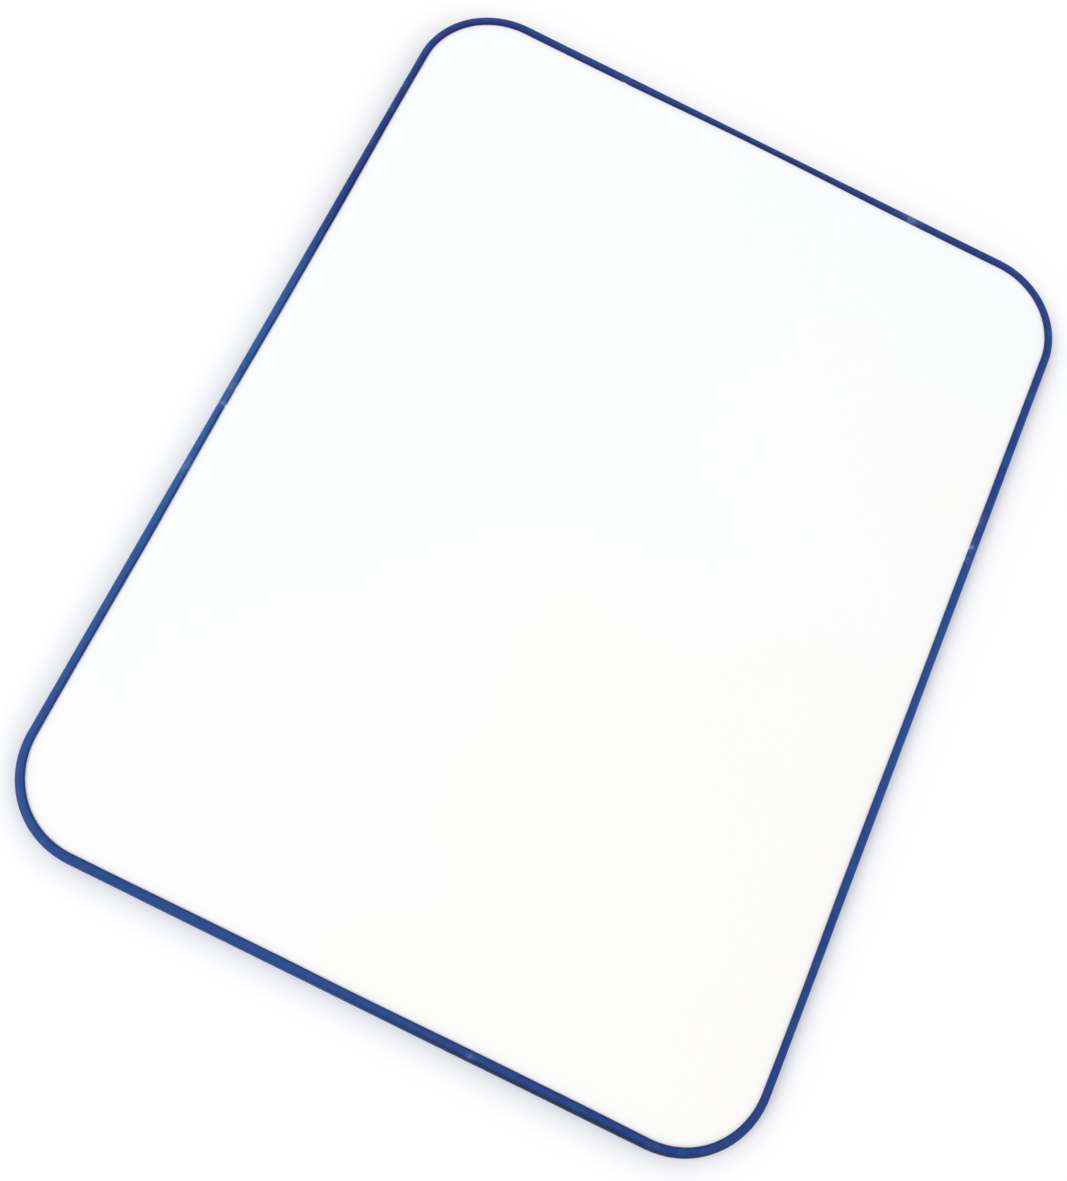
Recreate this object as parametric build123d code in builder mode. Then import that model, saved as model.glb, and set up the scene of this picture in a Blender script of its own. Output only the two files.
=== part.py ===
from build123d import *
import os

# A pupil's dry-erase lap board, in millimetres. It lies on its back with its origin under the middle
# of the board: +X across the board, +Y along it towards its top, and +Z out of the front writing face.
# Five flat layers are laminated into one blank, and a channel-shaped plastic trim is wrapped round the
# blank's edge, glued there, and cut off so that its two ends meet on one long side.

# The laminated blank
board_width = 228.6
board_length = 304.8
corner_radius = 26.2
core_thickness = 3.2
film_thickness = 0.1
sheet_thickness = 0.3

# The edge trim: a web outside the blank's edge, and a lip over each face
glue_gap = 0.2  # between the blank's edge and the web, filled by the glue
web_thickness = 0.8
lip_thickness = 0.9
lip_overlap = 1.8  # how far a lip reaches in over the blank
outer_round = 1.3  # radius between the web and a lip, outside
lip_edge_round = 0.4  # radius along a lip's free edge

# The butt joint where the trim's two ends meet, on the long side at -X
joint_gap = 0.3
joint_offset = -14.6  # from the middle of that side, along Y

# Heights of the stack, from the back upwards
rear_sheet_bottom = lip_thickness
rear_film_bottom = rear_sheet_bottom + sheet_thickness
core_bottom = rear_film_bottom + film_thickness
front_film_bottom = core_bottom + core_thickness
front_sheet_bottom = front_film_bottom + film_thickness
front_face = front_sheet_bottom + sheet_thickness
trim_height = front_face + lip_thickness

trim_reach = glue_gap + web_thickness  # how far the trim stands out past the blank


def board_outline(margin=0.0, mode=Mode.ADD):
    """Draw the blank's rounded outline in the open sketch, grown by a margin all round."""
    RectangleRounded(
        board_width + 2 * margin,
        board_length + 2 * margin,
        corner_radius + margin,
        mode=mode,
    )


def save(piece, name):
    """Label a finished piece and write its file."""
    piece.part.label = name
    export_step(piece.part, f"parts/{name}.step")


os.makedirs("parts", exist_ok=True)

# Rear sheet: the same coated laminate as the front, so that the board stays flat
with BuildPart() as rear_writing_sheet:
    with BuildSketch(Plane.XY.offset(rear_sheet_bottom)):
        board_outline()
    extrude(amount=sheet_thickness)
save(rear_writing_sheet, "rear_writing_sheet")

# Rear film: the layer of adhesive between the rear sheet and the core
with BuildPart() as rear_adhesive_film:
    with BuildSketch(Plane.XY.offset(rear_film_bottom)):
        board_outline()
    extrude(amount=film_thickness)
save(rear_adhesive_film, "rear_adhesive_film")

# Core: a hardboard panel that gives the board its stiffness
with BuildPart() as core_board:
    with BuildSketch(Plane.XY.offset(core_bottom)):
        board_outline()
    extrude(amount=core_thickness)
save(core_board, "core_board")

# Front film: the layer of adhesive between the core and the front sheet
with BuildPart() as front_adhesive_film:
    with BuildSketch(Plane.XY.offset(front_film_bottom)):
        board_outline()
    extrude(amount=film_thickness)
save(front_adhesive_film, "front_adhesive_film")

# Front sheet: the glossy dry-erase laminate that is written on
with BuildPart() as front_writing_sheet:
    with BuildSketch(Plane.XY.offset(front_sheet_bottom)):
        board_outline()
    extrude(amount=sheet_thickness)
save(front_writing_sheet, "front_writing_sheet")

# Glue bead: a thin band round the core's edge that holds the trim's web
with BuildPart() as trim_glue_bead:
    with BuildSketch(Plane.XY.offset(core_bottom)):
        board_outline(glue_gap)
        board_outline(mode=Mode.SUBTRACT)
    extrude(amount=core_thickness)
save(trim_glue_bead, "trim_glue_bead")

# Edge trim: one length of extruded channel, closed round the blank and cut at the butt joint
with BuildPart() as edge_trim:
    with BuildSketch():
        board_outline(trim_reach)
    extrude(amount=trim_height)
    back, front = edge_trim.faces().filter_by(Axis.Z).sort_by(Axis.Z)
    fillet(back.edges() + front.edges(), radius=outer_round)

    with BuildSketch():
        board_outline(-lip_overlap)
    extrude(amount=trim_height, mode=Mode.SUBTRACT)
    back, front = edge_trim.faces().filter_by(Axis.Z).sort_by(Axis.Z)
    lip_edges = back.inner_wires().edges() + front.inner_wires().edges()
    fillet(lip_edges, radius=lip_edge_round)

    with BuildSketch(Plane.XY.offset(rear_sheet_bottom)):
        board_outline(glue_gap)
    extrude(amount=front_face - rear_sheet_bottom, mode=Mode.SUBTRACT)

    with BuildSketch():
        with Locations((-board_width / 2, joint_offset)):
            Rectangle(2 * (trim_reach + lip_overlap), joint_gap)
    extrude(amount=trim_height, mode=Mode.SUBTRACT)
save(edge_trim, "edge_trim")
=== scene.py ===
"""The looks of a dry-erase lap board: white coated faces inside a wrapped blue vinyl trim.

The board lies on its back on a pale studio floor. Sizes are in metres, in the frame of the board
itself: +X across it, +Y towards its top, and +Z out of its front writing face.
"""

import logging
import math
from collections.abc import Callable
from dataclasses import dataclass, field
from enum import Enum

import bmesh
import bpy
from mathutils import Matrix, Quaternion, Vector
from mathutils.kdtree import KDTree


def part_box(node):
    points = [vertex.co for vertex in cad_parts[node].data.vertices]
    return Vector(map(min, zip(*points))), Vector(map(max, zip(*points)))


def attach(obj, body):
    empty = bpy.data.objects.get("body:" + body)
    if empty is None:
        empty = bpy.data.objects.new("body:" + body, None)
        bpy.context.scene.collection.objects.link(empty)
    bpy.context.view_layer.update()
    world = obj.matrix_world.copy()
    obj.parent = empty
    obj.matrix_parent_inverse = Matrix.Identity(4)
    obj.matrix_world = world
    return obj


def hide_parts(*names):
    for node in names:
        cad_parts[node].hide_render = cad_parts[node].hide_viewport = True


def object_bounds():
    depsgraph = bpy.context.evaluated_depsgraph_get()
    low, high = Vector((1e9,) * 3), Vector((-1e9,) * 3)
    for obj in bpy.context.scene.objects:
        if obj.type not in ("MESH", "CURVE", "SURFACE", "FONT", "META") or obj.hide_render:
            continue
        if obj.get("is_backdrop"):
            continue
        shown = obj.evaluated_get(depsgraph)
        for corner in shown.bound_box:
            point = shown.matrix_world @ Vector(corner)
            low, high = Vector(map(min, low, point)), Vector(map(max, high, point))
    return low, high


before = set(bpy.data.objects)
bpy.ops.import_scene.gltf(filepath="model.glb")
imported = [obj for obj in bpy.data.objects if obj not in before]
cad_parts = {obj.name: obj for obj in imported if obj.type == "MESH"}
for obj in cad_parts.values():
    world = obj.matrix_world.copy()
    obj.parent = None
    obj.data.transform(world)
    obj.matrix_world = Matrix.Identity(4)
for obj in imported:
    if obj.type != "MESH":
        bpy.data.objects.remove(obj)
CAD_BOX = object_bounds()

MM = 0.001
TOUCHING = 0.001 * MM  # points nearer than this are in the same place
LEVEL = 0.01 * MM  # and points within this of a plane are on it
BODY = "root"

# What the trim's mesh stores at each point, for its finish to follow, painted light and shade among
# it
STRIP_VALUES = ("inset", "to_edge", "wear_and_glint", "edge_shade", "fade", "outer_shade")

log = logging.getLogger("lap_board")


class Side(Enum):
    """A face of the board: its value is its name in a piece's name."""

    FRONT = "front"
    REAR = "rear"


class Run(Enum):
    """A straight side of the trim: its value is the way out of the board there."""

    LEFT = (-1, 0, 0)
    TOP = (0, 1, 0)
    RIGHT = (1, 0, 0)
    BOTTOM = (0, -1, 0)

    @property
    def outwards(self) -> Vector:
        """The unit vector out of the board."""
        return Vector(self.value)

    @property
    def upright(self) -> bool:
        """Whether the side runs along Y."""
        return self.value[0] != 0


# ---------------------------------------------------------------- modelling helpers


def deselect() -> None:
    """Leave nothing selected, so that the next operator acts on the new object alone."""
    bpy.ops.object.select_all(action="DESELECT")


def add_plane(
    name: str, centre: Vector, size: tuple[float, float], upright: bool = False
) -> bpy.types.Object:
    """Add a plane primitive at its size and place, with its place in its mesh.

    Args:
        name: The object's name.
        centre: The plane's centre.
        size: Its two sides, along X and Y, or along X and Z when upright.
        upright: Whether it stands in the XZ plane instead of lying in XY.

    Returns:
        The new object, selected and active, at the origin.
    """
    deselect()
    turn = (math.pi / 2, 0, 0) if upright else (0, 0, 0)
    bpy.ops.mesh.primitive_plane_add(size=1, location=centre, rotation=turn)
    plane = bpy.context.object
    plane.name = plane.data.name = name
    plane.scale = (*size, 1)
    bpy.ops.object.transform_apply(location=True, rotation=True, scale=True)
    return plane


def select(test: Callable[[Vector], bool]) -> int:
    """Select the edited mesh's vertices whose place passes a test, and the faces between them.

    Args:
        test: Takes a vertex's place and says whether to select it.

    Returns:
        How many vertices are selected.
    """
    mesh = bpy.context.edit_object.data
    shape = bmesh.from_edit_mesh(mesh)
    bpy.ops.mesh.select_all(action="DESELECT")
    bpy.context.tool_settings.mesh_select_mode = (True, False, False)
    for vertex in shape.verts:
        vertex.select_set(test(vertex.co))
    shape.select_flush(True)
    bmesh.update_edit_mesh(mesh)
    return sum(vertex.select for vertex in shape.verts)


def round_corners(test: Callable[[Vector], bool], radius: float, segments: int) -> None:
    """Round the corners of a flat outline that pass a test.

    Args:
        test: Takes a corner's place and says whether to round it.
        radius: The radius of the rounding.
        segments: How many straight steps make each rounding.
    """
    select(test)
    bpy.ops.mesh.bevel(
        offset=radius, offset_type="OFFSET", segments=segments, profile=0.5, affect="VERTICES"
    )


def cut_across(axis: Vector, stations: list[float]) -> None:
    """Cut the edited mesh by planes, so that it has a row of vertices at each station.

    Args:
        axis: The direction that the cutting planes face.
        stations: How far along the axis each plane stands.
    """
    for station in stations:
        bpy.ops.mesh.select_all(action="SELECT")
        bpy.ops.mesh.bisect(plane_co=axis * station, plane_no=axis)


def apply_modifier(piece: bpy.types.Object, kind: str, **settings: object) -> None:
    """Add a modifier to a piece, set it and apply it.

    Args:
        piece: The object to change.
        kind: The modifier's type.
        **settings: The modifier's properties.
    """
    deselect()
    piece.select_set(True)
    bpy.context.view_layer.objects.active = piece
    modifier = piece.modifiers.new(kind.title(), kind)
    for name, value in settings.items():
        setattr(modifier, name, value)
    bpy.ops.object.modifier_apply(modifier=modifier.name)


def clouds(name: str, grain: float, depth: int = 2) -> bpy.types.Texture:
    """Make a soft cloud texture for a Displace modifier.

    Args:
        name: The texture's name.
        grain: The size of its patches.
        depth: How many finer layers it has.

    Returns:
        The texture.
    """
    texture = bpy.data.textures.new(name, "CLOUDS")
    texture.noise_scale = grain
    texture.noise_depth = depth
    return texture


def fall_off(distance: float, spread: float) -> float:
    """Say how much of something is left at a distance, from 1 down to a trace.

    Args:
        distance: How far away it is.
        spread: The distance at which about a third is left.

    Returns:
        The share that is left, never quite 0.
    """
    return math.exp(-((distance / spread) ** 2)) + 1e-9


def smooth(piece: bpy.types.Object, angle: float = 32.0) -> None:
    """Shade a piece smooth where its faces meet at less than an angle.

    Args:
        piece: The object to shade.
        angle: The angle in degrees.
    """
    deselect()
    piece.select_set(True)
    bpy.context.view_layer.objects.active = piece
    bpy.ops.object.shade_smooth_by_angle(angle=math.radians(angle))


# ---------------------------------------------------------------- material helpers


def srgb(code: str) -> tuple[float, float, float, float]:
    """Turn an sRGB hex colour into the linear colour that a shader takes.

    Args:
        code: Six hex digits after a hash.

    Returns:
        Red, green, blue and a full alpha.
    """
    shares = [int(code[i : i + 2], 16) / 255 for i in (1, 3, 5)]
    linear = [s / 12.92 if s <= 0.04045 else ((s + 0.055) / 1.055) ** 2.4 for s in shares]
    return (*linear, 1.0)


def add_node(
    tree: bpy.types.NodeTree, kind: str, inputs: dict | None = None, **settings: object
) -> bpy.types.Node:
    """Add a shader node with its settings, values and links.

    Args:
        tree: The tree that the node goes in.
        kind: The node's type, without ShaderNode before it.
        inputs: For each input, its value or the output that is linked to it.
        **settings: The node's own properties.

    Returns:
        The new node.
    """
    node = tree.nodes.new("ShaderNode" + kind)
    for name, value in settings.items():
        setattr(node, name, value)
    for name, value in (inputs or {}).items():
        if isinstance(value, bpy.types.NodeSocket):
            tree.links.new(value, node.inputs[name])
        else:
            node.inputs[name].default_value = value
    return node


def new_material(name: str) -> tuple[bpy.types.Material, bpy.types.NodeTree]:
    """Make an empty node material.

    Args:
        name: The material's name.

    Returns:
        The material and its tree.
    """
    material = bpy.data.materials.new(name)
    material.use_nodes = True
    material.node_tree.nodes.clear()
    return material, material.node_tree


def wear_material(piece: bpy.types.Object, material: bpy.types.Material) -> None:
    """Give a piece one material, in place of any that it has.

    Args:
        piece: The object to dress.
        material: Its new material.
    """
    piece.data.materials.clear()
    piece.data.materials.append(material)


# ---------------------------------------------------------------- finishes


@dataclass(frozen=True)
class ExtrudedVinyl:
    """Plasticised vinyl, extruded through a polished die: satin blue, with faint lines along it.

    Its die lines and scratches are drawn coarser than real ones, which are too fine to show. It
    also carries painted shade along the lips' free edges, painted shadow on the outer round, a
    paler blue painted where more light falls, and painted glints on rubbed places.
    """

    colour: str = "#0A317D"
    # A paler blue painted where more light falls on the trim
    lit_tint: str = "#22599B"
    violet: str = "#24408F"
    teal: str = "#12528A"
    # Dark navy painted as shade along the lips' free edge
    edge_shade: str = "#1D1354"
    # Near-black painted as shadow on the outer round
    outer_shade: str = "#14160F"
    # Pale blue for the rubbed places, partly a painted glint
    glint_and_scuff: str = "#8E9FD8"
    line_spacing: float = 0.35 * MM
    line_length: float = 45 * MM
    line_depth: float = 0.04 * MM
    patch: float = 5 * MM
    patch_strength: float = 0.65
    scratch: float = 1.2 * MM
    # How wide the painted edge shade is, and how wide its darkest part is
    edge_shade_width: float = 1.0 * MM
    edge_shade_core: float = 0.15 * MM
    # Where the painted shadow on the outer round reaches: how far in, and how high up the round
    outer_shade_width: float = 1.7 * MM
    outer_shade_foot: float = 0.5 * MM
    outer_shade_head: float = 1.7 * MM
    roughness: float = 0.42
    roughness_spread: float = 0.07
    scuff_roughness: float = 0.2
    ior: float = 1.53
    specular: float = 0.22

    def make(self, mid_height: float) -> bpy.types.Material:
        """Build the material.

        Args:
            mid_height: Half the height of the trim, from which both lips mirror.

        Returns:
            The material.
        """
        material, tree = new_material("extruded_blue_vinyl")
        place = add_node(tree, "TexCoord").outputs["Object"]
        inset, to_edge, wear_and_glint, edge_shade, fade, outer_shade = (
            add_node(tree, "Attribute", attribute_name=name).outputs["Fac"]
            for name in STRIP_VALUES
        )
        axes = add_node(tree, "SeparateXYZ", {0: place}).outputs
        raised = add_node(
            tree, "Math", {0: axes["Z"], 1: mid_height}, operation="SUBTRACT"
        ).outputs[0]
        height = add_node(tree, "Math", {0: raised}, operation="ABSOLUTE").outputs[0]
        around = add_node(tree, "Math", {0: inset, 1: height}, operation="ADD").outputs[0]
        along_x, along_y = (
            add_node(
                tree, "Math", {0: axes[name], 1: 1 / self.line_length}, operation="MULTIPLY"
            ).outputs[0]
            for name in ("X", "Y")
        )
        across = add_node(
            tree, "Math", {0: around, 1: 1 / self.line_spacing}, operation="MULTIPLY"
        ).outputs[0]
        drawn = add_node(tree, "CombineXYZ", {"X": along_x, "Y": along_y, "Z": across}).outputs[0]

        # Lines that the die leaves along the strip
        lines = add_node(
            tree, "TexNoise", {"Vector": drawn, "Scale": 1.0, "Detail": 2.0}
        ).outputs["Fac"]

        # Pigment that mixed unevenly, greener in some places and more violet in others
        mixed = add_node(
            tree, "TexNoise", {"Vector": place, "Scale": 1 / self.patch, "Detail": 3.0}
        ).outputs["Fac"]
        most = {"To Max": self.patch_strength}
        to_teal = add_node(
            tree, "MapRange", {"Value": mixed, "From Min": 0.5, "From Max": 0.7, **most}
        ).outputs[0]
        to_violet = add_node(
            tree, "MapRange", {"Value": mixed, "From Min": 0.5, "From Max": 0.32, **most}
        ).outputs[0]
        # Painted light: a paler blue where more light falls on the trim, most on its lower left
        body = add_node(
            tree, "Mix", {0: fade, 6: srgb(self.colour), 7: srgb(self.lit_tint)}, data_type="RGBA"
        ).outputs[2]
        body = add_node(
            tree, "Mix", {0: to_teal, 6: body, 7: srgb(self.teal)}, data_type="RGBA"
        ).outputs[2]
        body = add_node(
            tree, "Mix", {0: to_violet, 6: body, 7: srgb(self.violet)}, data_type="RGBA"
        ).outputs[2]

        # Fine scratches, which break up the painted shadow on the outer round and the rubbed places
        # with their painted glints
        grit = add_node(
            tree, "TexNoise", {"Vector": place, "Scale": 1 / self.scratch, "Detail": 4.0}
        ).outputs["Fac"]
        grit = add_node(
            tree, "MapRange", {"Value": grit, "From Min": 0.3, "From Max": 0.55}
        ).outputs[0]

        # Painted shade: a dark navy line along the free edge of the lips, where they meet the face
        edge_shaded = add_node(
            tree,
            "MapRange",
            {"Value": to_edge, "From Min": self.edge_shade_width, "From Max": self.edge_shade_core},
            interpolation_type="SMOOTHSTEP",
        ).outputs[0]
        edge_shaded = add_node(
            tree, "Math", {0: edge_shaded, 1: edge_shade}, operation="MULTIPLY", use_clamp=True
        ).outputs[0]
        edge_shaded_colour = add_node(
            tree, "Mix", {0: edge_shaded, 6: body, 7: srgb(self.edge_shade)}, data_type="RGBA"
        ).outputs[2]

        # Painted shadow on the outer round, at the front only
        outer_shaded = add_node(
            tree,
            "MapRange",
            {"Value": inset, "From Min": self.outer_shade_width, "From Max": 0.25 * self.outer_shade_width},
            interpolation_type="SMOOTHSTEP",
        ).outputs[0]
        upper = add_node(
            tree,
            "MapRange",
            {"Value": raised, "From Min": self.outer_shade_foot, "From Max": self.outer_shade_head},
            interpolation_type="SMOOTHSTEP",
        ).outputs[0]
        broken = add_node(
            tree, "MapRange", {"Value": grit, "To Min": 0.7, "To Max": 1.0}
        ).outputs[0]
        for share in (upper, broken, outer_shade):
            outer_shaded = add_node(
                tree, "Math", {0: outer_shaded, 1: share}, operation="MULTIPLY", use_clamp=True
            ).outputs[0]
        outer_shaded_colour = add_node(
            tree, "Mix", {0: outer_shaded, 6: edge_shaded_colour, 7: srgb(self.outer_shade)}, data_type="RGBA"
        ).outputs[2]

        # Rubbed places, duller, and painted paler, partly as glints
        rubbed_and_glint = add_node(
            tree, "Math", {0: wear_and_glint, 1: grit}, operation="MULTIPLY", use_clamp=True
        ).outputs[0]
        coat = add_node(
            tree, "Mix", {0: rubbed_and_glint, 6: outer_shaded_colour, 7: srgb(self.glint_and_scuff)}, data_type="RGBA"
        ).outputs[2]

        smoothest = self.roughness - self.roughness_spread
        roughest = self.roughness + self.roughness_spread
        rough = add_node(
            tree, "MapRange", {"Value": lines, "To Min": smoothest, "To Max": roughest}
        ).outputs[0]
        rough = add_node(
            tree, "Math", {0: rubbed_and_glint, 1: self.scuff_roughness, 2: rough}, operation="MULTIPLY_ADD"
        ).outputs[0]
        relief = add_node(
            tree, "Bump", {"Height": lines, "Distance": self.line_depth, "Strength": 0.8}
        ).outputs["Normal"]
        shader = add_node(
            tree,
            "BsdfPrincipled",
            {
                "Base Color": coat,
                "Roughness": rough,
                "Normal": relief,
                "IOR": self.ior,
                "Specular IOR Level": self.specular,
            },
        )
        add_node(tree, "OutputMaterial", {"Surface": shader.outputs[0]})
        return material


@dataclass(frozen=True)
class KnifeCutVinyl:
    """The cut end of the vinyl strip: the knife whitens it, and its pale colour is partly a painted
    highlight, so that it shows pale and matt.

    Its tears are drawn coarser than real ones, which are too fine to show.
    """

    # Pale lavender: knife whitening together with a painted highlight
    colour: str = "#8C9FD2"
    bruise: str = "#4A68AE"
    tear: float = 0.5 * MM
    tear_depth: float = 0.03 * MM
    roughness: float = 0.7
    ior: float = 1.53

    def make(self) -> bpy.types.Material:
        """Build the material.

        Returns:
            The material.
        """
        material, tree = new_material("whitened_cut_vinyl_with_glint")
        place = add_node(tree, "TexCoord").outputs["Object"]
        tears = add_node(
            tree, "TexNoise", {"Vector": place, "Scale": 1 / self.tear, "Detail": 3.0}
        ).outputs["Fac"]
        tone = add_node(
            tree, "MapRange", {"Value": tears, "From Min": 0.35, "From Max": 0.65}
        ).outputs[0]
        colour = add_node(
            tree, "Mix", {0: tone, 6: srgb(self.bruise), 7: srgb(self.colour)}, data_type="RGBA"
        ).outputs[2]
        relief = add_node(
            tree, "Bump", {"Height": tears, "Distance": self.tear_depth}
        ).outputs["Normal"]
        shader = add_node(
            tree,
            "BsdfPrincipled",
            {"Base Color": colour, "Normal": relief, "Roughness": self.roughness, "IOR": self.ior},
        )
        add_node(tree, "OutputMaterial", {"Surface": shader.outputs[0]})
        return material


@dataclass(frozen=True)
class DryEraseLaminate:
    """Paper laminate under a hard clear coat: white, glossy, with orange peel and wiping haze."""

    colour: str = "#F7F9FB"
    warm: str = "#F8F7F5"
    tint_patch: float = 90 * MM
    tint_run: float = 450 * MM
    peel: float = 2.6 * MM
    peel_depth: float = 0.004 * MM
    haze: float = 22 * MM
    wipe_angle: float = 24.0
    wipe_stretch: float = 3.5
    glossiest: float = 0.13
    dullest: float = 0.21
    ior: float = 1.5

    def make(self) -> bpy.types.Material:
        """Build the material.

        Returns:
            The material.
        """
        material, tree = new_material("dry_erase_laminate")
        place = add_node(tree, "TexCoord").outputs["Object"]

        # The coat has yellowed a little, most towards the bottom right
        patchy = add_node(
            tree, "TexNoise", {"Vector": place, "Scale": 1 / self.tint_patch, "Detail": 2.0}
        )
        yellowed = add_node(
            tree,
            "VectorMath",
            {0: place, 1: (1 / self.tint_run, -1 / self.tint_run, 0)},
            operation="DOT_PRODUCT",
        ).outputs["Value"]
        tint = add_node(
            tree, "Math", {0: yellowed, 1: patchy.outputs["Fac"]}, operation="ADD", use_clamp=True
        )
        colour = add_node(
            tree,
            "Mix",
            {0: tint.outputs[0], 6: srgb(self.colour), 7: srgb(self.warm)},
            data_type="RGBA",
        ).outputs[2]

        # Wiping leaves long soft arcs that are a little duller than the rest
        swept = add_node(
            tree,
            "Mapping",
            {
                "Vector": place,
                "Rotation": (0, 0, math.radians(self.wipe_angle)),
                "Scale": (1, self.wipe_stretch, 1),
            },
        ).outputs[0]
        haze = add_node(
            tree,
            "TexNoise",
            {"Vector": swept, "Scale": 1 / self.haze, "Detail": 5.0, "Distortion": 0.8},
        ).outputs["Fac"]
        rough = add_node(
            tree,
            "MapRange",
            {
                "Value": haze,
                "From Min": 0.3,
                "From Max": 0.7,
                "To Min": self.glossiest,
                "To Max": self.dullest,
            },
        ).outputs[0]
        peel = add_node(
            tree, "TexNoise", {"Vector": place, "Scale": 1 / self.peel, "Detail": 1.0}
        ).outputs["Fac"]
        relief = add_node(
            tree, "Bump", {"Height": peel, "Distance": self.peel_depth, "Strength": 0.6}
        ).outputs["Normal"]
        shader = add_node(
            tree,
            "BsdfPrincipled",
            {
                "Base Color": colour,
                "Roughness": rough,
                "Normal": relief,
                "IOR": self.ior,
                "Coat Weight": 0.35,
                "Coat Roughness": 0.06,
            },
        )
        add_node(tree, "OutputMaterial", {"Surface": shader.outputs[0]})
        return material


@dataclass(frozen=True)
class Hardboard:
    """Hot-pressed wood fibre: brown, dull, with matted fibres and darker specks.

    Its fibres are drawn coarser than real ones, which are too fine to show.
    """

    colour: str = "#8A6544"
    dark: str = "#5A3D26"
    fibre: float = 0.9 * MM
    fibre_depth: float = 0.05 * MM
    roughness: float = 0.8

    def make(self) -> bpy.types.Material:
        """Build the material.

        Returns:
            The material.
        """
        material, tree = new_material("pressed_hardboard")
        place = add_node(tree, "TexCoord").outputs["Object"]
        matted = add_node(
            tree,
            "TexNoise",
            {"Vector": place, "Scale": 1 / self.fibre, "Detail": 8.0, "Distortion": 1.6},
        ).outputs["Fac"]
        specks = add_node(
            tree, "TexVoronoi", {"Vector": place, "Scale": 1 / (2 * self.fibre)}
        ).outputs["Distance"]
        tone = add_node(
            tree, "Math", {0: matted, 1: specks}, operation="MULTIPLY", use_clamp=True
        ).outputs[0]
        tone = add_node(
            tree, "MapRange", {"Value": tone, "From Min": 0.05, "From Max": 0.4}
        ).outputs[0]
        colour = add_node(
            tree, "Mix", {0: tone, 6: srgb(self.dark), 7: srgb(self.colour)}, data_type="RGBA"
        ).outputs[2]
        relief = add_node(
            tree, "Bump", {"Height": matted, "Distance": self.fibre_depth}
        ).outputs["Normal"]
        shader = add_node(
            tree,
            "BsdfPrincipled",
            {"Base Color": colour, "Normal": relief, "Roughness": self.roughness},
        )
        add_node(tree, "OutputMaterial", {"Surface": shader.outputs[0]})
        return material


@dataclass(frozen=True)
class SetAdhesive:
    """Set glue: slightly yellow, waxy, with small bubbles and a soft gloss.

    Its bubbles are drawn coarser than real ones, which are too fine to show.
    """

    name: str
    colour: str
    cloudy: str
    bubble: float = 0.4 * MM
    bubble_depth: float = 0.02 * MM
    roughness: float = 0.45
    ior: float = 1.48

    def make(self) -> bpy.types.Material:
        """Build the material.

        Returns:
            The material.
        """
        material, tree = new_material(self.name)
        place = add_node(tree, "TexCoord").outputs["Object"]
        bubbles = add_node(
            tree, "TexVoronoi", {"Vector": place, "Scale": 1 / self.bubble}
        ).outputs["Distance"]
        tone = add_node(
            tree, "MapRange", {"Value": bubbles, "From Min": 0.1, "From Max": 0.6}
        ).outputs[0]
        colour = add_node(
            tree, "Mix", {0: tone, 6: srgb(self.cloudy), 7: srgb(self.colour)}, data_type="RGBA"
        ).outputs[2]
        relief = add_node(
            tree, "Bump", {"Height": bubbles, "Distance": self.bubble_depth}
        ).outputs["Normal"]
        shader = add_node(
            tree,
            "BsdfPrincipled",
            {"Base Color": colour, "Normal": relief, "Roughness": self.roughness, "IOR": self.ior},
        )
        add_node(tree, "OutputMaterial", {"Surface": shader.outputs[0]})
        return material


@dataclass(frozen=True)
class StudioPaint:
    """Matt emulsion on the studio floor: plain and nearly white."""

    colour: str = "#FCFCFC"
    roughness: float = 0.9

    def make(self) -> bpy.types.Material:
        """Build the material.

        Returns:
            The material.
        """
        material, tree = new_material("studio_floor_paint")
        shader = add_node(
            tree, "BsdfPrincipled", {"Base Color": srgb(self.colour), "Roughness": self.roughness}
        )
        add_node(tree, "OutputMaterial", {"Surface": shader.outputs[0]})
        return material


# ---------------------------------------------------------------- the board


@dataclass(frozen=True)
class Mark:
    """A small nick on the trim, a rubbed place with a painted glint, or both.

    Attributes:
        run: The side of the board that it is on.
        along: Where it is along that side, towards +X or +Y from the middle.
        inset: How far it is in from the trim's outer face.
        length: How far it runs along the trim.
        depth: How deep a nick goes into the lip's free edge, or 0.
        wear_and_glint: How strongly the place is rubbed and painted paler, partly as a glint, from
            0 to 1.
    """

    run: Run
    along: float
    inset: float
    length: float
    depth: float = 0.0
    wear_and_glint: float = 0.0


@dataclass(frozen=True)
class Seat:
    """How the strip sits round one place on the trim, where hand wrapping left it uneven.

    Attributes:
        run: The side of the board that it is on.
        along: Where it is along that side, towards +X or +Y from the middle.
        reach: How much further in the lips reach there.
        edge_shade: How much painted shade lies along the lips' free edge, from 0 to 1.
        fade: How much paler blue is painted where more light falls, from 0 to 1.
        outer_shade: How much painted shadow lies on the outer round, from 0 to 1.
    """

    run: Run
    along: float
    reach: float
    edge_shade: float
    fade: float
    outer_shade: float = 0.0


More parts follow.
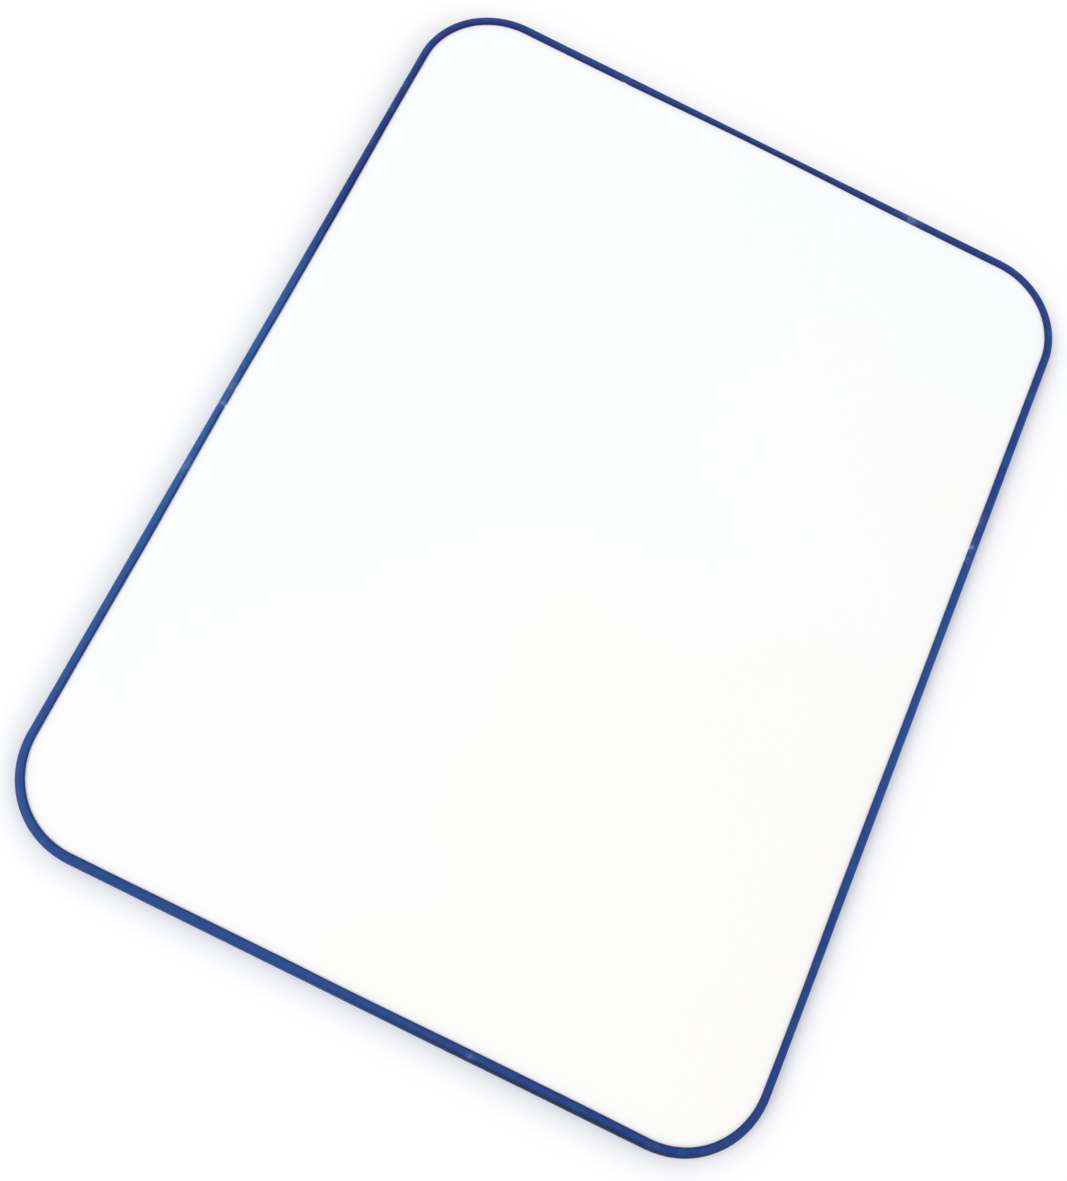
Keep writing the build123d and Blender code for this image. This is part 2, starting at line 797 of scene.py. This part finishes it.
@dataclass
class EdgeTrim:
    """One length of vinyl channel, wrapped round the blank's edge, its ends butted on a long side.

    Attributes:
        node: The plain node that it takes the place of.
        corner_radius: The radius of its bends, at its outer face.
        lip_reach: How far in its lips reach from its outer face.
        outer_round: The radius between its web and a lip, outside.
        outer_steps: How many straight steps make that rounding.
        lip_edge_round: The radius along a lip's free edge.
        lip_edge_steps: How many straight steps make that rounding.
        joint_offset: How far the butt joint is from the middle of its side.
        joint_gap: The gap between the two cut ends.
        end_chamfer: How far the edges of a cut end are broken.
        end_step: How far the lips of the lower end are out of line with the upper end's.
        end_taper: The length over which they draw back.
        taper_steps: How many steps they draw back in.
        corner_steps: How many straight steps make a bend.
        station_spacing: The distance between two rows of points on a straight side.
        least_spacing: The least distance between two rows.
        mark_steps: How many rows there are on each side of a mark's middle.
        nick_shares: How wide each press of a nick is, as shares of the mark's length.
        seat_spread: How far along the strip a seat makes itself felt.
        pucker_grain: The length of a pucker in the bent lips.
        pucker: The height of the puckers.
        wave_grain: The length of a wave in the strip.
        wave: The height of the waves.
        crease_angle: The angle in degrees past which two faces meet in an edge.
        marks: The nicks, rubbed places and painted glints on it.
        seats: How it sits at places all round, and the painted light and shade there.
        low: Its lowest corner, from the frame.
        high: Its highest corner, from the frame.
        web: How thick it is at its web.
        faces: The heights of the board's rear and front faces, which its channel holds.
        bend: The centre of its bend at +X and +Y.
        start: Where the strip starts along Y, above the joint.
        finish: Where it ends along Y, below the joint.
    """

    node: str = "edge_trim"
    corner_radius: float = 27.2 * MM
    lip_reach: float = 2.8 * MM
    outer_round: float = 1.3 * MM
    outer_steps: int = 9
    lip_edge_round: float = 0.5 * MM
    lip_edge_steps: int = 6
    joint_offset: float = -14.6 * MM
    joint_gap: float = 0.3 * MM
    end_chamfer: float = 0.17 * MM
    end_step: float = 0.10 * MM
    end_taper: float = 9.0 * MM
    taper_steps: int = 5
    corner_steps: int = 28
    station_spacing: float = 4.0 * MM
    least_spacing: float = 0.15 * MM
    mark_steps: int = 4
    nick_shares: tuple[float, ...] = (0.55, 0.3, 0.05)
    seat_spread: float = 45.0 * MM
    pucker_grain: float = 5 * MM
    pucker: float = 0.14 * MM
    wave_grain: float = 22 * MM
    wave: float = 0.10 * MM
    crease_angle: float = 35.0
    marks: tuple[Mark, ...] = (
        Mark(Run.LEFT, -14.0 * MM, 1.8 * MM, 0.8 * MM, wear_and_glint=0.35),
        Mark(Run.LEFT, -8.2 * MM, 1.9 * MM, 2.0 * MM, depth=0.12 * MM, wear_and_glint=0.2),
        Mark(Run.LEFT, -37.0 * MM, 1.7 * MM, 2.4 * MM, wear_and_glint=0.2),
        Mark(Run.TOP, -51.0 * MM, 2.8 * MM, 1.6 * MM, depth=0.2 * MM, wear_and_glint=0.1),
        Mark(Run.TOP, 55.0 * MM, 1.5 * MM, 2.2 * MM, wear_and_glint=0.4),
        Mark(Run.RIGHT, 62.0 * MM, 2.6 * MM, 0.7 * MM, depth=0.1 * MM, wear_and_glint=0.4),
        Mark(Run.RIGHT, 53.0 * MM, 2.5 * MM, 0.8 * MM, depth=0.22 * MM, wear_and_glint=0.6),
        Mark(Run.RIGHT, 48.5 * MM, 2.3 * MM, 1.0 * MM, depth=0.12 * MM, wear_and_glint=0.25),
        Mark(Run.BOTTOM, 34.0 * MM, 1.4 * MM, 0.7 * MM, wear_and_glint=0.35),
    )
    seats: tuple[Seat, ...] = (
        Seat(Run.LEFT, -105 * MM, -0.10 * MM, 0.7, 0.75),
        Seat(Run.LEFT, -20 * MM, -0.28 * MM, 0.7, 1.0),
        Seat(Run.LEFT, 105 * MM, -0.25 * MM, 1.0, 0.0),
        Seat(Run.TOP, -75 * MM, 0.20 * MM, 0.75, 0.2),
        Seat(Run.TOP, 0 * MM, -0.45 * MM, 0.8, 0.15),
        Seat(Run.TOP, 75 * MM, 0.15 * MM, 0.6, 0.05),
        Seat(Run.RIGHT, 105 * MM, 0.05 * MM, 0.2, 0.1),
        Seat(Run.RIGHT, 0 * MM, -0.08 * MM, 0.2, 0.4),
        Seat(Run.RIGHT, -105 * MM, -0.30 * MM, 0.2, 0.15),
        Seat(Run.BOTTOM, 75 * MM, 0.35 * MM, 0.5, 0.05, outer_shade=1.0),
        Seat(Run.BOTTOM, 35 * MM, 0.35 * MM, 0.4, 0.25, outer_shade=0.8),
        Seat(Run.BOTTOM, -30 * MM, 0.25 * MM, 0.35, 0.55, outer_shade=0.2),
        Seat(Run.BOTTOM, -80 * MM, 0.12 * MM, 0.35, 0.15, outer_shade=0.1),
    )
    low: Vector = field(init=False)
    high: Vector = field(init=False)
    web: float = field(init=False)
    faces: tuple[float, float] = field(init=False)
    bend: Vector = field(init=False)
    start: float = field(init=False)
    finish: float = field(init=False)

    def __post_init__(self) -> None:
        """Take the trim's outer size and its channel from the frame, and place its two ends."""
        self.low, self.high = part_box(self.node)
        self.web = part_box("trim_glue_bead")[0].x - self.low.x
        self.faces = (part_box("rear_writing_sheet")[0].z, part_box("front_writing_sheet")[1].z)
        self.bend = Vector((self.high.x - self.corner_radius, self.high.y - self.corner_radius, 0))
        self.start = self.joint_offset + self.joint_gap / 2
        self.finish = self.joint_offset - self.joint_gap / 2

    def build(self) -> bpy.types.Object:
        """Model the strip, finish it and put it in place of its plain stand-in.

        Returns:
            The finished trim.
        """
        trim = self.draw_section()
        self.wrap()
        self.add_stations()
        self.seat_lips()
        self.taper_end()
        self.cut_nicks()
        self.chamfer_ends()
        bpy.ops.object.mode_set(mode="OBJECT")
        self.soften(trim)
        self.dress(trim)
        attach(trim, BODY)
        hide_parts(self.node)
        return trim

    def draw_section(self) -> bpy.types.Object:
        """Draw the channel's section as one face, where the strip starts above the joint.

        Returns:
            The new object, in edit mode.
        """
        centre = Vector((self.low.x + self.lip_reach / 2, self.start, self.high.z / 2))
        trim = add_plane("edge_trim_strip", centre, (self.lip_reach, self.high.z), upright=True)
        bpy.ops.object.mode_set(mode="EDIT")
        cut_across(Vector((0, 0, 1)), list(self.faces))
        cut_across(Vector((1, 0, 0)), [self.low.x + self.web])
        rear, front = self.faces
        slop = self.web / 4
        inner_side = self.low.x + self.web - slop
        select(lambda p: p.x > inner_side and rear - slop < p.z < front + slop)
        bpy.ops.mesh.delete(type="FACE")
        bpy.ops.mesh.select_all(action="SELECT")
        bpy.ops.mesh.dissolve_limited(angle_limit=math.radians(1))
        middle, half = self.high.z / 2, self.high.z / 2 - slop
        outer_side = self.low.x + slop
        round_corners(
            lambda p: p.x < outer_side and abs(p.z - middle) > half,
            self.outer_round,
            self.outer_steps,
        )
        tip = self.low.x + self.lip_reach - slop
        round_corners(
            lambda p: p.x > tip and abs(p.z - middle) > half,
            self.lip_edge_round,
            self.lip_edge_steps,
        )
        bpy.ops.mesh.select_all(action="SELECT")
        return trim

    def wrap(self) -> None:
        """Run the section along each side and turn it round each corner, back to the joint."""
        x, y = self.bend.x, self.bend.y
        turns = [
            (Vector((0, y - self.start, 0)), Vector((-x, y, 0))),
            (Vector((2 * x, 0, 0)), Vector((x, y, 0))),
            (Vector((0, -2 * y, 0)), Vector((x, -y, 0))),
            (Vector((-2 * x, 0, 0)), Vector((-x, -y, 0))),
        ]
        for run, centre in turns:
            bpy.ops.mesh.extrude_region_move(TRANSFORM_OT_translate={"value": run})
            bpy.ops.mesh.spin(
                steps=self.corner_steps, angle=math.pi / 2, center=centre, axis=(0, 0, 1)
            )
        last_run = Vector((0, self.finish + y, 0))
        bpy.ops.mesh.extrude_region_move(TRANSFORM_OT_translate={"value": last_run})
        bpy.ops.mesh.select_all(action="SELECT")
        bpy.ops.mesh.remove_doubles(threshold=TOUCHING)
        bpy.ops.mesh.normals_make_consistent(inside=False)

    def add_stations(self) -> None:
        """Divide the straight sides, more finely at the marks, so that they can be shaped."""
        ends = {True: self.bend.y, False: self.bend.x}
        wanted = {}
        for upright, limit in ends.items():
            count = round(2 * limit / self.station_spacing)
            wanted[upright] = {limit * (2 * i / count - 1) for i in range(1, count)}
        steps = self.mark_steps
        for mark in self.marks:
            wanted[mark.run.upright].update(
                mark.along + mark.length * step / steps for step in range(-steps, steps + 1)
            )
        tapers = self.taper_steps
        wanted[True].update(
            self.finish - self.end_taper * step / tapers for step in range(1, tapers + 1)
        )
        clearance = self.joint_gap + self.end_chamfer
        for upright, limit in ends.items():
            kept: list[float] = []
            for station in sorted(wanted[upright]):
                clear_of_joint = not upright or abs(station - self.joint_offset) > clearance
                clear_of_last = not kept or station - kept[-1] > self.least_spacing
                if abs(station) < limit and clear_of_joint and clear_of_last:
                    kept.append(station)
            cut_across(Vector((0, 1, 0)) if upright else Vector((1, 0, 0)), kept)

    def seat_lips(self) -> None:
        """Pull the lips in or let them out along the strip, with the web left where it is."""
        rounding_end = self.outer_round + 0.05 * MM
        near = 1.1 * self.station_spacing
        select(lambda p: self.inset(p) < rounding_end)
        bpy.ops.mesh.hide(unselected=False)
        for seat in self.seats:
            place = self.locate(seat.run, seat.along, self.lip_reach)
            select(lambda p, place=place: Vector((p.x - place.x, p.y - place.y)).length < near)
            bpy.ops.transform.translate(
                value=-seat.run.outwards * seat.reach,
                use_proportional_edit=True,
                proportional_edit_falloff="SMOOTH",
                proportional_size=self.seat_spread,
            )
        bpy.ops.mesh.reveal(select=False)

    def taper_end(self) -> None:
        """Draw the lips of the lower end back, so that the two ends meet with a small step."""
        lip_start = self.low.x + self.outer_round + 0.2 * MM
        highest = self.finish + TOUCHING
        for step in range(self.taper_steps):
            lowest = self.finish - self.end_taper * (1 - step / self.taper_steps) - TOUCHING
            select(lambda p, lowest=lowest: lip_start < p.x < 0 and lowest < p.y < highest)
            bpy.ops.transform.translate(value=(-self.end_step / self.taper_steps, 0, 0))

    def cut_nicks(self) -> None:
        """Press each nick into the front lip's free edge, deepest at its middle."""
        edge = self.lip_reach - self.lip_edge_round - 0.1 * MM
        for mark in self.marks:
            if not mark.depth:
                continue
            place = self.locate(mark.run, mark.along, 0)
            press = mark.run.outwards * (mark.depth / len(self.nick_shares))
            for share in self.nick_shares:

                def near(p: Vector, reach: float = mark.length * share + 0.02 * MM) -> bool:
                    """Say whether a point on the lip's free edge is near enough to the nick."""
                    gap = Vector((p.x, p.y, 0)) - place
                    depth = -gap.dot(mark.run.outwards)
                    beside = (gap + mark.run.outwards * depth).length
                    at_front = p.z > self.faces[1] - LEVEL
                    return at_front and beside < reach and edge < depth < 2 * self.lip_reach

                if select(near):
                    bpy.ops.transform.translate(value=press)

    def chamfer_ends(self) -> None:
        """Break the edges round each cut end."""
        for end in (self.start, self.finish):
            select(lambda p, end=end: p.x < 0 and abs(p.y - end) < LEVEL)
            bpy.ops.mesh.bevel(offset=self.end_chamfer, segments=2, affect="EDGES")

    def locate(self, run: Run, along: float, inset: float) -> Vector:
        """Say where a place on one side of the trim is.

        Args:
            run: The side.
            along: How far it is along that side from the middle.
            inset: How far it is in from the outer face.

        Returns:
            Its place in the frame, at Z 0.
        """
        half = self.high.x if run.upright else self.high.y
        beside = Vector((0, 1, 0)) if run.upright else Vector((1, 0, 0))
        return run.outwards * (half - inset) + beside * along

    def inset(self, point: Vector) -> float:
        """Say how far in from the trim's outer face a point is, seen from above.

        Args:
            point: The point.

        Returns:
            Its distance from the outer face, more than 0 inside the outline.
        """
        over_x, over_y = abs(point.x) - self.bend.x, abs(point.y) - self.bend.y
        beyond = math.hypot(max(over_x, 0), max(over_y, 0)) + min(max(over_x, over_y), 0)
        return self.corner_radius - beyond

    def soften(self, trim: bpy.types.Object) -> None:
        """Give the strip the slight waviness of a soft extrusion, and puckered lips in the bends.

        Args:
            trim: The modelled strip, in object mode.
        """
        lips = trim.vertex_groups.new(name="bent_lips")
        flat_reach = self.lip_reach - self.outer_round
        for vertex in trim.data.vertices:
            in_bend = abs(vertex.co.x) > self.bend.x and abs(vertex.co.y) > self.bend.y
            depth = self.inset(vertex.co) - self.outer_round
            if in_bend and depth > 0:
                lips.add([vertex.index], depth / flat_reach, "REPLACE")
        apply_modifier(
            trim,
            "DISPLACE",
            texture=clouds("pucker", self.pucker_grain),
            texture_coords="LOCAL",
            direction="Z",
            vertex_group=lips.name,
            strength=self.pucker,
        )
        apply_modifier(
            trim,
            "DISPLACE",
            texture=clouds("draw_wave", self.wave_grain),
            texture_coords="LOCAL",
            strength=self.wave,
        )
        trim.vertex_groups.clear()
        smooth(trim, self.crease_angle)

    def dress(self, trim: bpy.types.Object) -> None:
        """Store what the finish follows, and give the strip and its cut ends their materials.

        Args:
            trim: The shaped strip.
        """
        stored: dict[str, list[float]] = {name: [] for name in STRIP_VALUES}
        tips = self.find_tips(trim)
        rubs = [(self.locate(mark.run, mark.along, mark.inset), mark) for mark in self.marks]
        seats = [
            (self.locate(seat.run, seat.along, self.lip_reach / 2), seat) for seat in self.seats
        ]
        for vertex in trim.data.vertices:
            flat = Vector((vertex.co.x, vertex.co.y, 0))
            shares = [fall_off((flat - place).length, self.seat_spread) for place, _ in seats]
            # How strongly each point is rubbed, with painted glints among the rubbed places
            rubs_and_glints = sum(
                mark.wear_and_glint * fall_off((flat - place).length, mark.length) for place, mark in rubs
            )
            total = sum(shares)
            inset = self.inset(flat)
            stored["inset"].append(inset)
            stored["to_edge"].append(self.inset(tips.find(flat)[0]) - inset)
            stored["wear_and_glint"].append(min(1.0, rubs_and_glints) if vertex.co.z > self.high.z / 2 else 0.0)
            # Blend the seats' painted edge shade, painted light and painted outer shadow along the
            # strip
            for name in ("edge_shade", "fade", "outer_shade"):
                summed = sum(share * getattr(seat, name) for share, (_, seat) in zip(shares, seats))
                stored[name].append(summed / total)
        for name, values in stored.items():
            trim.data.attributes.new(name, "FLOAT", "POINT").data.foreach_set("value", values)
        wear_material(trim, ExtrudedVinyl().make(self.high.z / 2))
        trim.data.materials.append(KnifeCutVinyl().make())
        cut_depth = self.joint_gap / 2 + self.end_chamfer
        for face in trim.data.polygons:
            at_joint = face.center.x < 0 and abs(face.center.y - self.joint_offset) < cut_depth
            if at_joint and abs(face.normal.y) > 0.3:
                face.material_index = 1

    def find_tips(self, trim: bpy.types.Object) -> KDTree:
        """Collect the lips' free edges, to measure from them.

        Args:
            trim: The shaped strip.

        Returns:
            A search tree of the free edges' points, seen from above.
        """
        middle, slop = self.high.z / 2, 0.12 * MM
        half = self.faces[1] - middle
        found = [
            Vector((v.co.x, v.co.y, 0))
            for v in trim.data.vertices
            if abs(abs(v.co.z - middle) - half) < slop and self.inset(v.co) > self.lip_reach / 2
        ]
        tree = KDTree(len(found))
        for index, point in enumerate(found):
            tree.insert(point, index)
        tree.balance()
        return tree


@dataclass
class WritingFace:
    """A sheet of coated laminate, bonded to one side of the core and open inside the lips.

    Attributes:
        side: The face of the board that it is on.
        node: The plain node that it takes the place of.
        corner_radius: The radius of its corners.
        corner_steps: How many straight steps make a corner.
        cell: The distance between two rows of points.
        lip_overlap: How far the trim's lips reach in over it.
        relief: The depth of its unevenness.
        relief_grain: The length of its unevenness.
    """

    side: Side
    node: str
    corner_radius: float = 26.2 * MM
    corner_steps: int = 16
    cell: float = 6.0 * MM
    lip_overlap: float = 1.8 * MM
    relief: float = 0.05 * MM
    relief_grain: float = 55 * MM

    def build(self, finish: bpy.types.Material) -> bpy.types.Object:
        """Model the sheet, finish it and put it in place of its plain stand-in.

        Args:
            finish: The laminate's material.

        Returns:
            The finished sheet.
        """
        low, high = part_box(self.node)
        outer, inner = (high.z, low.z) if self.side is Side.FRONT else (low.z, high.z)
        size = (high.x - low.x, high.y - low.y)
        name = f"{self.side.value}_writing_face"
        sheet = add_plane(name, Vector((0, 0, outer)), size)
        bpy.ops.object.mode_set(mode="EDIT")
        round_corners(lambda p: True, self.corner_radius, self.corner_steps)
        for axis, length in ((Vector((1, 0, 0)), size[0]), (Vector((0, 1, 0)), size[1])):
            count = round(length / self.cell)
            cut_across(axis, [length * (i / count - 0.5) for i in range(1, count)])
        bpy.ops.mesh.select_all(action="SELECT")
        thickness = Vector((0, 0, inner - outer))
        bpy.ops.mesh.extrude_region_move(TRANSFORM_OT_translate={"value": thickness})
        bpy.ops.mesh.select_all(action="SELECT")
        bpy.ops.mesh.normals_make_consistent(inside=False)
        bpy.ops.object.mode_set(mode="OBJECT")
        self.add_relief(sheet, outer, high)
        smooth(sheet)
        wear_material(sheet, finish)
        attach(sheet, BODY)
        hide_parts(self.node)
        return sheet

    def add_relief(self, sheet: bpy.types.Object, outer: float, high: Vector) -> None:
        """Let the core show through as a very shallow unevenness, with none of it under the lips.

        Args:
            sheet: The flat sheet.
            outer: The height of its open surface.
            high: Its highest corner, which gives half its width and length.
        """
        open_area = sheet.vertex_groups.new(name="open_area")
        flat_border, blend = 3 * self.lip_overlap, 4 * self.lip_overlap
        for vertex in sheet.data.vertices:
            edge = min(high.x - abs(vertex.co.x), high.y - abs(vertex.co.y)) - flat_border
            if abs(vertex.co.z - outer) < TOUCHING and edge > 0:
                open_area.add([vertex.index], min(1.0, edge / blend), "REPLACE")
        apply_modifier(
            sheet,
            "DISPLACE",
            texture=clouds("uneven_core", self.relief_grain, 1),
            texture_coords="LOCAL",
            direction="Z",
            vertex_group=open_area.name,
            strength=self.relief,
        )
        sheet.vertex_groups.clear()


@dataclass
class BondedCore:
    """The layers that show only in the trim's joint: hardboard, two films and the trim's glue."""

    core: str = "core_board"
    films: tuple[str, str] = ("front_adhesive_film", "rear_adhesive_film")
    bead: str = "trim_glue_bead"

    def dress(self) -> list[bpy.types.Object]:
        """Give each layer its own material.

        Returns:
            The layers, from the core outwards.
        """
        core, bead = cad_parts[self.core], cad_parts[self.bead]
        films = [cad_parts[name] for name in self.films]
        wear_material(core, Hardboard().make())
        film_glue = SetAdhesive("laminating_adhesive", "#D9CFA8", "#E6DEC2").make()
        for film in films:
            wear_material(film, film_glue)
        wear_material(bead, SetAdhesive("hot_melt_glue", "#EDE6CF", "#F5F0E2").make())
        return [core, *films, bead]


# ---------------------------------------------------------------- the studio


@dataclass(frozen=True)
class SoftLight:
    """A square softbox that looks at the board.

    Attributes:
        name: The light's name.
        bearing: The way to it from the board, in degrees from +X towards +Y.
        elevation: How high it stands, in degrees.
        distance: How far it is from the board.
        size: The side of its square.
        power: Its power in watts.
    """

    name: str
    bearing: float
    elevation: float
    distance: float
    size: float
    power: float

    def place(self) -> None:
        """Set the light up."""
        lamp = bpy.data.lights.new(self.name, "AREA")
        lamp.size = self.size
        lamp.energy = self.power
        stand = bpy.data.objects.new(self.name, lamp)
        bpy.context.scene.collection.objects.link(stand)
        way = direction(self.bearing, self.elevation)
        stand.location = way * self.distance
        stand.rotation_mode = "QUATERNION"
        stand.rotation_quaternion = way.to_track_quat("Z", "Y")


def direction(bearing: float, elevation: float) -> Vector:
    """Turn a bearing and an elevation in degrees into a unit vector.

    Args:
        bearing: Degrees from +X towards +Y.
        elevation: Degrees above the floor.

    Returns:
        The unit vector that points that way.
    """
    turn, rise = math.radians(bearing), math.radians(elevation)
    level = math.cos(rise)
    return Vector((math.cos(turn) * level, math.sin(turn) * level, math.sin(rise)))


@dataclass
class Studio:
    """A pale floor, soft light, and a camera held over the board's near end and rolled a little.

    Attributes:
        floor_size: The side of the square floor.
        aim: The place on the board that the camera is turned to, along X and Y.
        camera_bearing: The way to the camera from there, in degrees from +X towards +Y.
        camera_elevation: How high the camera stands, in degrees.
        camera_distance: How far it is from there.
        camera_roll: How far it is rolled, in degrees.
        lens: Its focal length in millimetres.
        shift: Its lens shift, across and up.
        near_clip: The nearest that it sees.
        sky: The colour of the surround.
        sky_strength: How bright the surround is.
        lights: The softboxes.
    """

    floor_size: float = 60.0
    aim: tuple[float, float] = (-22.6 * MM, -24.0 * MM)
    camera_bearing: float = -90.1
    camera_elevation: float = 71.9
    camera_distance: float = 458.6 * MM
    camera_roll: float = 26.4
    lens: float = 46.83
    shift: tuple[float, float] = (0.0440, -0.0218)
    near_clip: float = 10 * MM
    sky: str = "#FFFFFF"
    sky_strength: float = 0.78
    lights: tuple[SoftLight, ...] = (
        SoftLight("key", 215, 52, 5.0, 2.7, 77.0),
        SoftLight("fill", -30, 35, 5.0, 3.0, 24.0),
    )

    def build(self) -> None:
        """Set up the floor, the light and the camera."""
        self.lay_floor()
        self.light()
        self.place_camera()

    def lay_floor(self) -> None:
        """Lay the floor under the trim's lowest point."""
        lowest = Vector((0, 0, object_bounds()[0].z))
        floor = add_plane("studio_floor", lowest, (self.floor_size, self.floor_size))
        wear_material(floor, StudioPaint().make())
        floor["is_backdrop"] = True

    def light(self) -> None:
        """Light the board softly, most from beyond its lower left corner, in a bright surround."""
        world = bpy.data.worlds.new("studio")
        world.use_nodes = True
        world.node_tree.nodes.clear()
        brightness = {"Color": srgb(self.sky), "Strength": self.sky_strength}
        glow = add_node(world.node_tree, "Background", brightness)
        add_node(world.node_tree, "OutputWorld", {"Surface": glow.outputs[0]})
        bpy.context.scene.world = world
        for softbox in self.lights:
            softbox.place()
        bpy.context.scene.view_settings.view_transform = "Standard"

    def place_camera(self) -> None:
        """Hold the camera over the board, at its distance, angle and roll."""
        lens = bpy.data.cameras.new("studio_camera")
        lens.lens = self.lens
        lens.shift_x, lens.shift_y = self.shift
        lens.clip_start = self.near_clip
        camera = bpy.data.objects.new("studio_camera", lens)
        bpy.context.scene.collection.objects.link(camera)
        back = direction(self.camera_bearing, self.camera_elevation)
        camera.location = Vector((*self.aim, CAD_BOX[1].z)) + back * self.camera_distance
        camera.rotation_mode = "QUATERNION"
        level = (-back).to_track_quat("-Z", "Y")
        camera.rotation_quaternion = level @ Quaternion((0, 0, 1), math.radians(self.camera_roll))
        bpy.context.scene.camera = camera


def main() -> None:
    """Build the board's visible pieces, dress the rest, and set up the studio."""
    logging.basicConfig(level=logging.INFO)
    laminate = DryEraseLaminate().make()
    pieces = [
        EdgeTrim().build(),
        WritingFace(Side.FRONT, "front_writing_sheet").build(laminate),
        WritingFace(Side.REAR, "rear_writing_sheet").build(laminate),
        *BondedCore().dress(),
    ]
    for piece in pieces:
        log.info("%s: %d faces", piece.name, len(piece.data.polygons))
    Studio().build()


if __name__ == "__main__":
    main()
